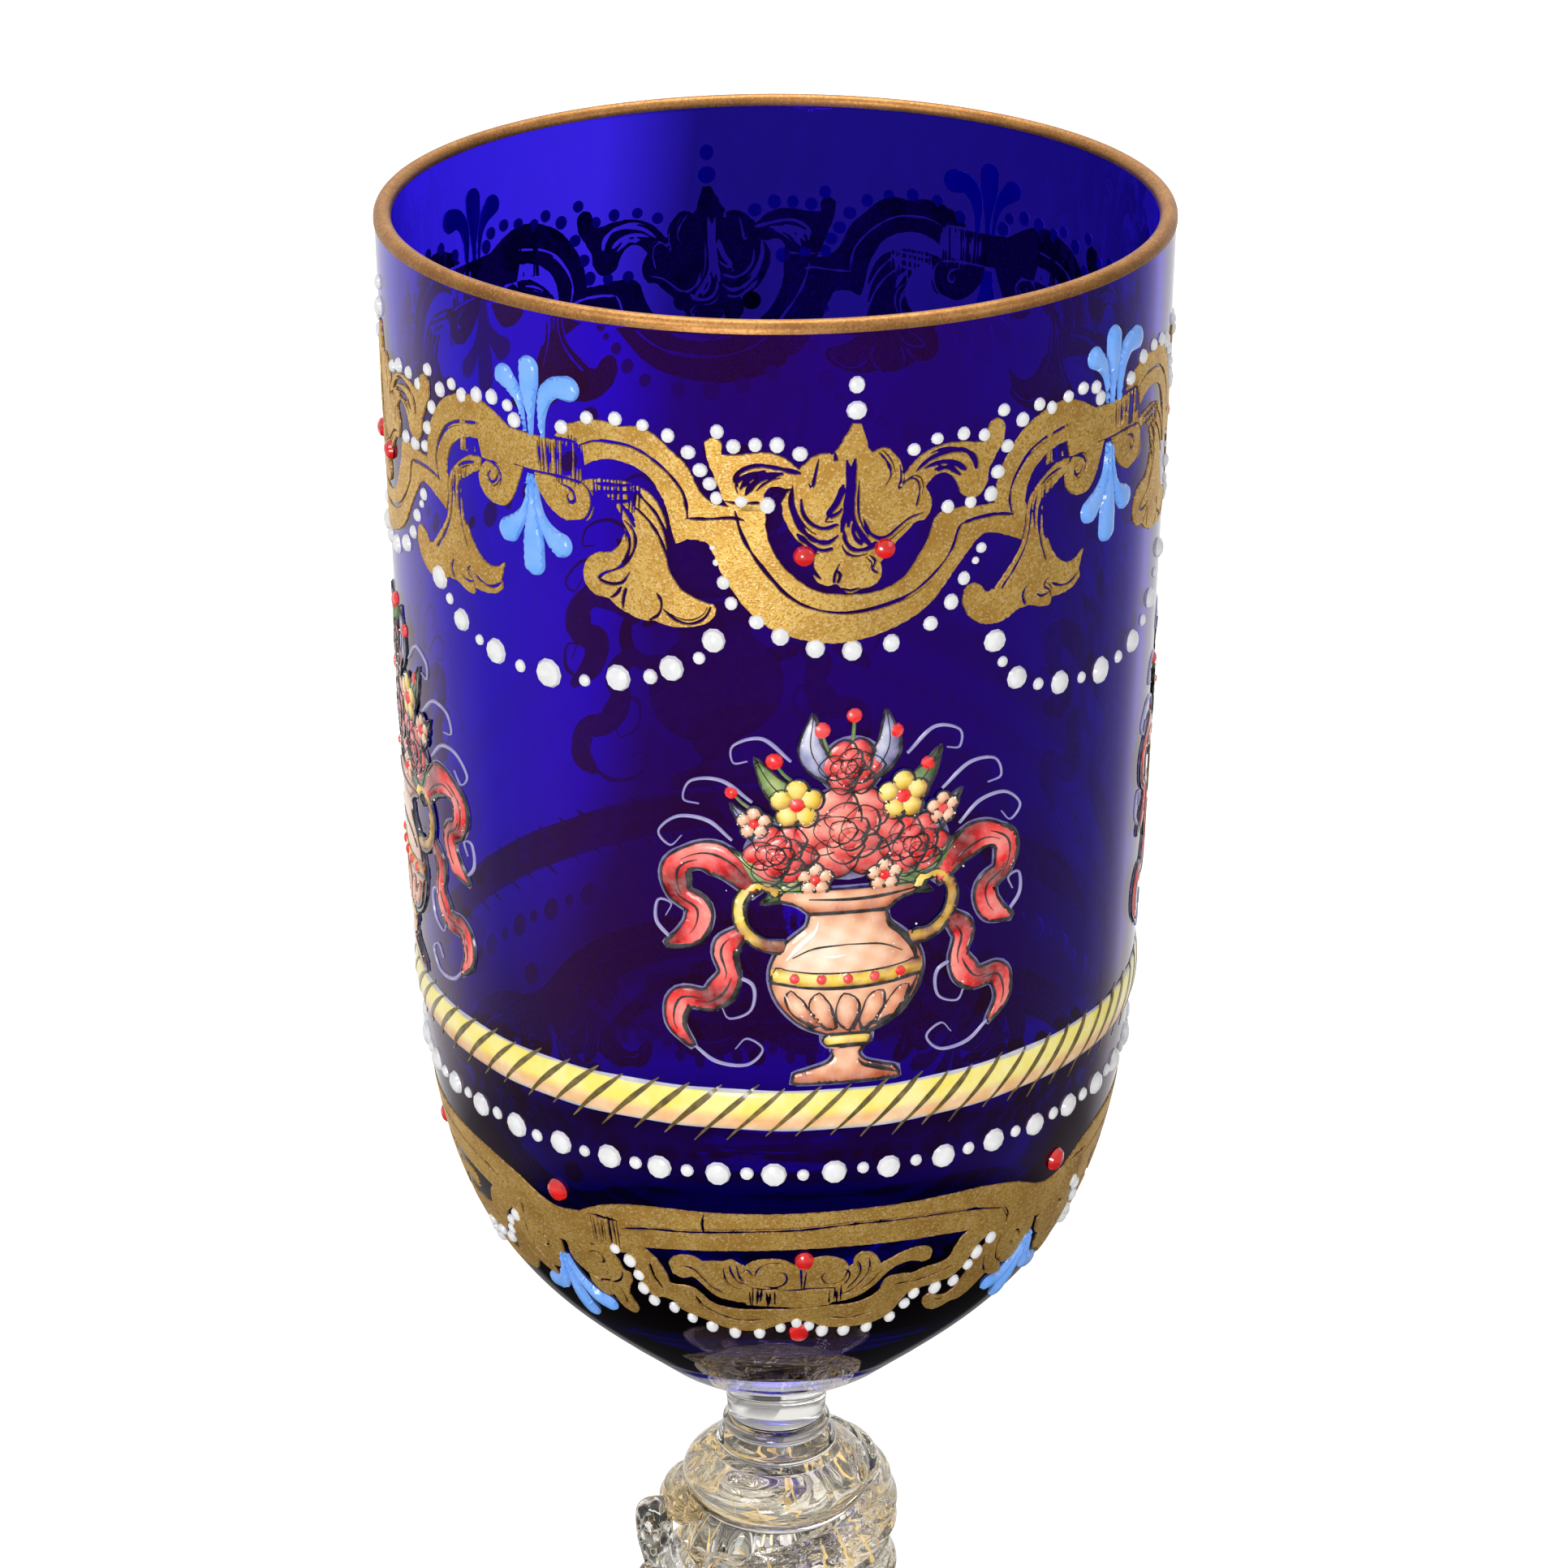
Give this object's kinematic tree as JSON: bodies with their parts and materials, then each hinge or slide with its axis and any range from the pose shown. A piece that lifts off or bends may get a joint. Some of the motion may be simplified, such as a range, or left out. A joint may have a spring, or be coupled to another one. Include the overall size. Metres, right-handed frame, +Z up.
{
  "type": "enamelled stemmed goblet",
  "caption": "Stemmed drinking goblet: blue glass bowl with gilt scrollwork and raised enamel, clear gold-flecked stem with wound canes, round foot.",
  "frame": {"origin": "centre of the foot's underside, on the table", "axes": "+Z up along the goblet's axis; -Y faces the viewer of the picture"},
  "size_m": [0.0808, 0.0808, 0.236],
  "materials": {
    "blue_glass": "deep cobalt blue, polished",
    "clear_glass": "clear, fire polished",
    "gold_flecked_glass": "clear with broken gold leaf inside",
    "gilding": "matt fired gold, engraved",
    "blue_enamel": null,
    "rope_enamel": null,
    "painted_enamel": null
  },
  "bodies": {
    "root": {"bowl": "blue_glass", "bowl_base_cap": "clear_glass", "stem_neck": "clear_glass", "neck_ring_1": "clear_glass", "neck_ring_2": "clear_glass", "shoulder_knop": "gold_flecked_glass", "ribbed_knop": "gold_flecked_glass", "stem_core": "gold_flecked_glass", "winding_cane_right": "gold_flecked_glass", "winding_cane_left": "gold_flecked_glass", "pincered_crest": "gold_flecked_glass", "core_ring": "clear_glass", "baluster": "gold_flecked_glass", "baluster_ring": "clear_glass", "base_knop": "gold_flecked_glass", "foot_collar": "clear_glass", "foot": "clear_glass", "rim_gilding": "gilding", "rope_band": "rope_enamel", "acanthus_1": "gilding", "acanthus_2": "gilding", "acanthus_3": "gilding", "acanthus_4": "gilding", "cartouche_1": "gilding", "cartouche_2": "gilding", "cartouche_3": "gilding", "cartouche_4": "gilding", "drop_plume_1": "blue_enamel", "drop_plume_2": "blue_enamel", "drop_plume_3": "blue_enamel", "drop_plume_4": "blue_enamel", "flower_urn_1": "painted_enamel", "flower_urn_2": "painted_enamel", "flower_urn_3": "painted_enamel", "flower_urn_4": "painted_enamel", "fruit_basket_1": "gilding", "fruit_basket_2": "gilding", "fruit_basket_3": "gilding", "fruit_basket_4": "gilding", "hanging_plume_1": "blue_enamel", "hanging_plume_2": "blue_enamel", "hanging_plume_3": "blue_enamel", "hanging_plume_4": "blue_enamel", "linking_leaf_1": "gilding", "linking_leaf_2": "gilding", "linking_leaf_3": "gilding", "linking_leaf_4": "gilding", "scrollwork_1": "gilding", "scrollwork_2": "gilding", "scrollwork_3": "gilding", "scrollwork_4": "gilding", "upper_plume_1": "blue_enamel", "upper_plume_2": "blue_enamel", "upper_plume_3": "blue_enamel", "upper_plume_4": "blue_enamel"}
  },
  "joints": []
}
